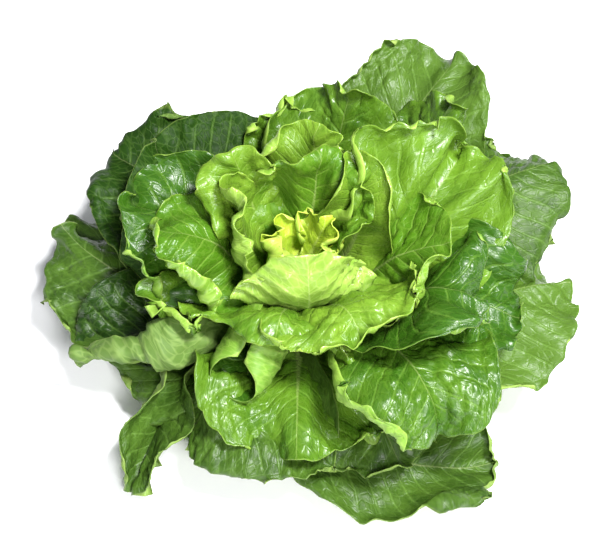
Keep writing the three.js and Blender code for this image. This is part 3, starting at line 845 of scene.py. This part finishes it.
# Radius and height of the stem's outline, from the middle of the cut face to its top inside the heart.
STEM_PROFILE = [(0, 0), (16, 0), (17, 1), (17.2, 4), (17, 7), (16.4, 12), (15.5, 18), (14, 25), (12, 32),
                (10, 38), (8, 44), (6, 48), (4, 50), (0, 50.5)]
STEM_SIDES = 72


def stem_material():
    """Cut lettuce stem: pale moist flesh with hardly any shine, and a rind that has browned at the cut."""
    material = bpy.data.materials.new("lettuce stem, cut")
    material.use_nodes = True
    tree = material.node_tree
    tree.nodes.clear()
    place = add(tree, "ShaderNodeTexCoord").outputs["Object"]
    # Fibres show as flecks of about 4 mm, and the rind browns over the lowest 4 mm.
    grain = add(tree, "ShaderNodeTexNoise", {"Vector": place, "Scale": 260.0, "Detail": 4.0}).outputs["Fac"]
    height = add(tree, "ShaderNodeSeparateXYZ", {0: place}).outputs[2]
    limits = {"Value": height, "From Min": 0.0, "From Max": 0.004, "To Min": 1.0, "To Max": 0.0}
    low = add(tree, "ShaderNodeMapRange", limits, interpolation_type="SMOOTHSTEP").outputs["Result"]
    shade = add(tree, "ShaderNodeValToRGB", {"Fac": grain})
    shade.color_ramp.elements[0].color = rgba(linear("c2c88c"))
    shade.color_ramp.elements[1].color = rgba(linear("e2e4bd"))
    colours = {0: low, 6: shade.outputs[0], 7: rgba(linear("b98f62"))}
    browned = add(tree, "ShaderNodeMix", colours, data_type="RGBA")
    bump = add(tree, "ShaderNodeBump", {"Height": grain, "Strength": 0.4, "Distance": 0.0006})
    shader = add(tree, "ShaderNodeBsdfPrincipled", {
        "Base Color": browned.outputs[2], "Roughness": 0.55, "Normal": bump.outputs[0], "IOR": 1.4,
        "Subsurface Weight": 0.15, "Subsurface Radius": (1.0, 0.8, 0.4), "Subsurface Scale": 0.003,
    })
    add(tree, "ShaderNodeOutputMaterial", {"Surface": shader.outputs[0]})
    return material


def stem_piece(material):
    """A turned stem whose sides are slightly uneven."""
    angle = np.linspace(0, 2 * math.pi, STEM_SIDES, endpoint=False)
    vertices, faces = [(0, 0, 0)], []
    for radius, z in STEM_PROFILE[1:-1]:
        uneven = 1 + 0.02 * np.sin(5 * angle + z / 9) + 0.012 * np.sin(13 * angle - z / 5)
        vertices += [(radius * f * math.cos(a) * MM, radius * f * math.sin(a) * MM, z * MM)
                     for f, a in zip(uneven, angle)]
    vertices.append((0, 0, STEM_PROFILE[-1][1] * MM))
    last = len(vertices) - 1
    for j in range(STEM_SIDES):
        after = (j + 1) % STEM_SIDES
        faces.append((0, 1 + after, 1 + j))
        for i in range(len(STEM_PROFILE) - 3):
            a, b = 1 + i * STEM_SIDES + j, 1 + i * STEM_SIDES + after
            faces.append((a, b, b + STEM_SIDES, a + STEM_SIDES))
        faces.append((last - STEM_SIDES + j, last - STEM_SIDES + after, last))
    mesh = bpy.data.meshes.new("cut_stem")
    mesh.from_pydata(vertices, [], faces)
    mesh.shade_smooth()
    mesh.materials.append(material)
    stem = bpy.data.objects.new("cut_stem", mesh)
    bpy.context.scene.collection.objects.link(stem)
    return stem


def add_lamp(name, place, power, size, target):
    """A square soft lamp that faces the target."""
    lamp = bpy.data.lights.new(name, "AREA")
    lamp.energy = power
    lamp.size = size
    holder = bpy.data.objects.new(name, lamp)
    holder.location = place
    x, y, z = np.array(place) - target
    holder.rotation_euler = (math.atan2(math.hypot(x, y), z), 0, math.atan2(x, -y))
    bpy.context.scene.collection.objects.link(holder)


# The middle of the picture in millimetres, and the stage's sizes in metres but for the camera's sensor.
LOOK_AT = (0, -12, 72)
SENSOR_WIDTH = 36
TABLE_HALF_SIDE = 4
# Each lamp's place and the side of its square.
LAMPS = {
    "key": ((0.42, -0.14, 1.35), 0.26),
    "front": ((0.25, -0.85, 1.0), 0.3),
    "low": ((-0.15, -1.15, 0.42), 0.24),
}


class LETTUCE_OT_stage(bpy.types.Operator):
    """Make the table, the light and the camera"""

    bl_idname = "lettuce.stage"
    bl_label = "Stage"

    def execute(self, context):
        scene = context.scene
        stage = scene.lettuce_stage
        mesh = bpy.data.meshes.new("table")
        far = TABLE_HALF_SIDE
        corners = [(-far, -far, 0), (far, -far, 0), (far, far, 0), (-far, far, 0)]
        mesh.from_pydata(corners, [], [(0, 1, 2, 3)])
        paint = bpy.data.materials.new("white paint, matt")
        paint.use_nodes = True
        shader = paint.node_tree.nodes["Principled BSDF"]
        shader.inputs["Base Color"].default_value = rgba(linear("f6f6f8"))
        shader.inputs["Roughness"].default_value = 0.8
        mesh.materials.append(paint)
        table = bpy.data.objects.new("table", mesh)
        scene.collection.objects.link(table)

        target = np.array(LOOK_AT) * MM
        camera = bpy.data.objects.new("camera", bpy.data.cameras.new("camera"))
        camera.data.lens = stage.lens
        camera.data.sensor_width = SENSOR_WIDTH
        towards_camera = np.array([0, -math.cos(stage.elevation), math.sin(stage.elevation)])
        camera.location = target + stage.distance * towards_camera
        camera.rotation_euler = (math.pi / 2 - stage.elevation, 0, 0)
        scene.collection.objects.link(camera)
        scene.camera = camera

        for name, (lamp_place, size) in LAMPS.items():
            add_lamp(name, lamp_place, getattr(stage, f"{name}_power"), size, target)

        world = bpy.data.worlds.new("white surroundings")
        world.use_nodes = True
        background = world.node_tree.nodes["Background"]
        background.inputs[0].default_value = rgba(linear("f4f6ff"))
        background.inputs[1].default_value = stage.fill
        scene.world = world
        scene.view_settings.view_transform = "Standard"
        scene.view_settings.look = "None"
        return {"FINISHED"}


class LETTUCE_PT_head(bpy.types.Panel):
    """The head's pieces"""

    bl_label = "Romaine lettuce head"
    bl_idname = "LETTUCE_PT_head"
    bl_space_type = "VIEW_3D"
    bl_region_type = "UI"
    bl_category = "Lettuce"

    def draw(self, context):
        for group in (context.scene.lettuce_sizes, context.scene.lettuce_stage):
            for key in group.__annotations__:
                self.layout.prop(group, key)
        for operator in OPERATORS:
            self.layout.operator(operator.bl_idname)


OPERATORS = (LETTUCE_OT_stem, LETTUCE_OT_heart, LETTUCE_OT_inner_leaves, LETTUCE_OT_middle_leaves,
             LETTUCE_OT_outer_leaves, LETTUCE_OT_stage)
CLASSES = (LettuceSizes, LettuceStage, *OPERATORS, LETTUCE_PT_head)


def register():
    for cls in CLASSES:
        bpy.utils.register_class(cls)
    bpy.types.Scene.lettuce_sizes = bpy.props.PointerProperty(type=LettuceSizes)
    bpy.types.Scene.lettuce_stage = bpy.props.PointerProperty(type=LettuceStage)


def unregister():
    del bpy.types.Scene.lettuce_sizes
    del bpy.types.Scene.lettuce_stage
    for cls in reversed(CLASSES):
        bpy.utils.unregister_class(cls)


def main():
    register()
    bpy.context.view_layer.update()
    bpy.ops.lettuce.stem()
    bpy.ops.lettuce.heart()
    bpy.ops.lettuce.inner_leaves()
    bpy.ops.lettuce.middle_leaves()
    bpy.ops.lettuce.outer_leaves()
    bpy.ops.lettuce.stage()


if __name__ == "__main__":
    main()
